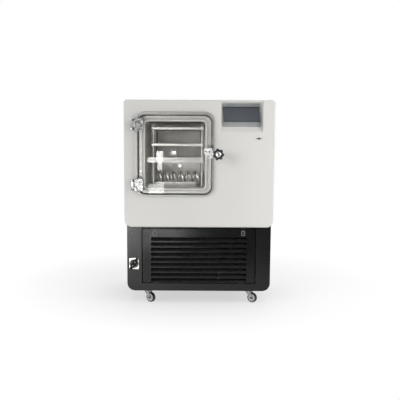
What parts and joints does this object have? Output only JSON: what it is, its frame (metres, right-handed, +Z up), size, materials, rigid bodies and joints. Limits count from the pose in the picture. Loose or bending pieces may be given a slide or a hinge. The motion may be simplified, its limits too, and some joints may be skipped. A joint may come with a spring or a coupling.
{
  "type": "freeze dryer",
  "caption": "Floor-standing cabinet freeze dryer with a clear hinged door, shelves over a cold-trap coil, a sunk touch console, a louvred base and swivel casters.",
  "frame": {"origin": "on the floor, under the middle of the whole outline", "axes": "+Z up, the door and the console face -Y, +X to the right as the door is faced"},
  "size_m": [0.83, 0.814, 1.143],
  "materials": {
    "white_paint": "semi-gloss",
    "black_paint": "fine texture powder coat",
    "stainless": "brushed",
    "chrome": "polished casting",
    "zinc_plate": "bright zinc",
    "clear_acrylic": "polished",
    "white_silicone": "satin",
    "grey_plastic": "matte",
    "display_glass": "gloss",
    "black_plastic": "matte",
    "black_gloss": "gloss",
    "tyre_rubber": "matte",
    "wheel_nylon": "satin",
    "copper_tube": "bright drawn",
    "galvanised": "galvanised",
    "fin_aluminium": "milled",
    "black_enamel": "gloss enamel"
  },
  "bodies": {
    "cabinet": {"base_rear_panel": "black_paint", "base_shell": "black_paint", "caster_plates": "zinc_plate", "chamber_box": "stainless", "chamber_flange": "stainless", "chamber_stand": "galvanised", "chassis_tray": "galvanised", "coil_rail": "stainless", "cold_trap_coil": "copper_tube", "compressor": "black_enamel", "condenser": "fin_aluminium", "console_tray": "white_paint", "door_frame_plate": "galvanised", "door_gasket": "white_silicone", "fan_motor": "black_enamel", "fan_shroud": "galvanised", "front_fascia": "white_paint", "hinge_bracket_bolts": "zinc_plate", "hinge_bracket_lower": "chrome", "hinge_bracket_upper": "chrome", "hinge_pins": "chrome", "housing_rear_panel": "white_paint", "housing_wrap": "white_paint", "latch_post": "chrome", "louvre_panel": "black_paint", "power_inlet": "black_plastic", "screen_bezel": "grey_plastic", "screen_display": "display_glass", "shelf_lower": "stainless", "shelf_middle": "stainless", "shelf_posts": "stainless", "shelf_upper": "stainless", "switch_plate": "zinc_plate", "usb_socket": "black_plastic", "vacuum_pipe": "stainless"},
    "door": {"door_panel": "clear_acrylic", "door_bolts": "chrome", "hinge_block_lower": "chrome", "hinge_block_upper": "chrome", "latch_bracket": "chrome"},
    "knob_carrier": {"thrust_washer": "chrome"},
    "knob": {"star_knob": "black_gloss", "knob_insert": "chrome", "knob_spindle": "chrome"},
    "main_switch": {"switch_handle": "black_plastic"},
    "left_latch": {"panel_slider_left": "black_plastic"},
    "right_latch": {"panel_slider_right": "black_plastic"},
    "fan": {"fan_rotor": "black_enamel"},
    "front_left_fork": {"caster_fork_front_left": "zinc_plate"},
    "front_left_wheel": {"caster_hub_front_left": "wheel_nylon", "caster_tyre_front_left": "tyre_rubber"},
    "front_right_fork": {"caster_fork_front_right": "zinc_plate"},
    "front_right_wheel": {"caster_hub_front_right": "wheel_nylon", "caster_tyre_front_right": "tyre_rubber"},
    "rear_left_fork": {"caster_fork_rear_left": "zinc_plate"},
    "rear_left_wheel": {"caster_hub_rear_left": "wheel_nylon", "caster_tyre_rear_left": "tyre_rubber"},
    "rear_right_fork": {"caster_fork_rear_right": "zinc_plate"},
    "rear_right_wheel": {"caster_hub_rear_right": "wheel_nylon", "caster_tyre_rear_right": "tyre_rubber"}
  },
  "joints": [
    {"name": "door_hinge", "type": "hinge", "parent": "cabinet", "child": "door", "pos_m": [-0.366, -0.349, 0.844], "axis": [0, 0, -1], "range_deg": [0, 120]},
    {"name": "knob_travel", "type": "slide", "parent": "door", "child": "knob_carrier", "axis": [0, -1, 0], "range_m": [0, 0.0106]},
    {"name": "knob_spin", "type": "hinge", "parent": "knob_carrier", "child": "knob", "pos_m": [0.101, -0.403, 0.849], "axis": [0, -1, 0], "range_deg": [0, 2160]},
    {"name": "switch_turn", "type": "hinge", "parent": "cabinet", "child": "main_switch", "pos_m": [-0.364, -0.298, 0.234], "axis": [0, -1, 0], "range_deg": [0, 90]},
    {"name": "left_latch_slide", "type": "slide", "parent": "cabinet", "child": "left_latch", "axis": [0, 0, -1], "range_m": [0, 0.007]},
    {"name": "right_latch_slide", "type": "slide", "parent": "cabinet", "child": "right_latch", "axis": [0, 0, -1], "range_m": [0, 0.007]},
    {"name": "fan_spin", "type": "hinge", "parent": "cabinet", "child": "fan", "pos_m": [-0.09, -0.138, 0.255], "axis": [0, 1, 0], "continuous": true},
    {"name": "front_left_swivel", "type": "hinge", "parent": "cabinet", "child": "front_left_fork", "pos_m": [-0.291, -0.232, 0.0605], "axis": [0, 0, 1], "continuous": true},
    {"name": "front_left_roll", "type": "hinge", "parent": "front_left_fork", "child": "front_left_wheel", "pos_m": [-0.27366, -0.24555, 0.028], "axis": [0.6157, 0.788, 0], "continuous": true},
    {"name": "front_right_swivel", "type": "hinge", "parent": "cabinet", "child": "front_right_fork", "pos_m": [0.291, -0.232, 0.0605], "axis": [0, 0, 1], "continuous": true},
    {"name": "front_right_roll", "type": "hinge", "parent": "front_right_fork", "child": "front_right_wheel", "pos_m": [0.30924, -0.2443, 0.028], "axis": [0.5592, 0.829, 0], "continuous": true},
    {"name": "rear_left_swivel", "type": "hinge", "parent": "cabinet", "child": "rear_left_fork", "pos_m": [-0.291, 0.296, 0.0605], "axis": [0, 0, 1], "continuous": true},
    {"name": "rear_left_roll", "type": "hinge", "parent": "rear_left_fork", "child": "rear_left_wheel", "pos_m": [-0.2706, 0.28776, 0.028], "axis": [0.3746, 0.9272, 0], "continuous": true},
    {"name": "rear_right_swivel", "type": "hinge", "parent": "cabinet", "child": "rear_right_fork", "pos_m": [0.291, 0.296, 0.0605], "axis": [0, 0, 1], "continuous": true},
    {"name": "rear_right_roll", "type": "hinge", "parent": "rear_right_fork", "child": "rear_right_wheel", "pos_m": [0.30484, 0.2789, 0.028], "axis": [0.7771, 0.6293, 0], "continuous": true}
  ],
  "couplings": [
    {"joint": "knob_travel", "follows": "knob_spin", "m_per_rad": 0.00027852}
  ]
}
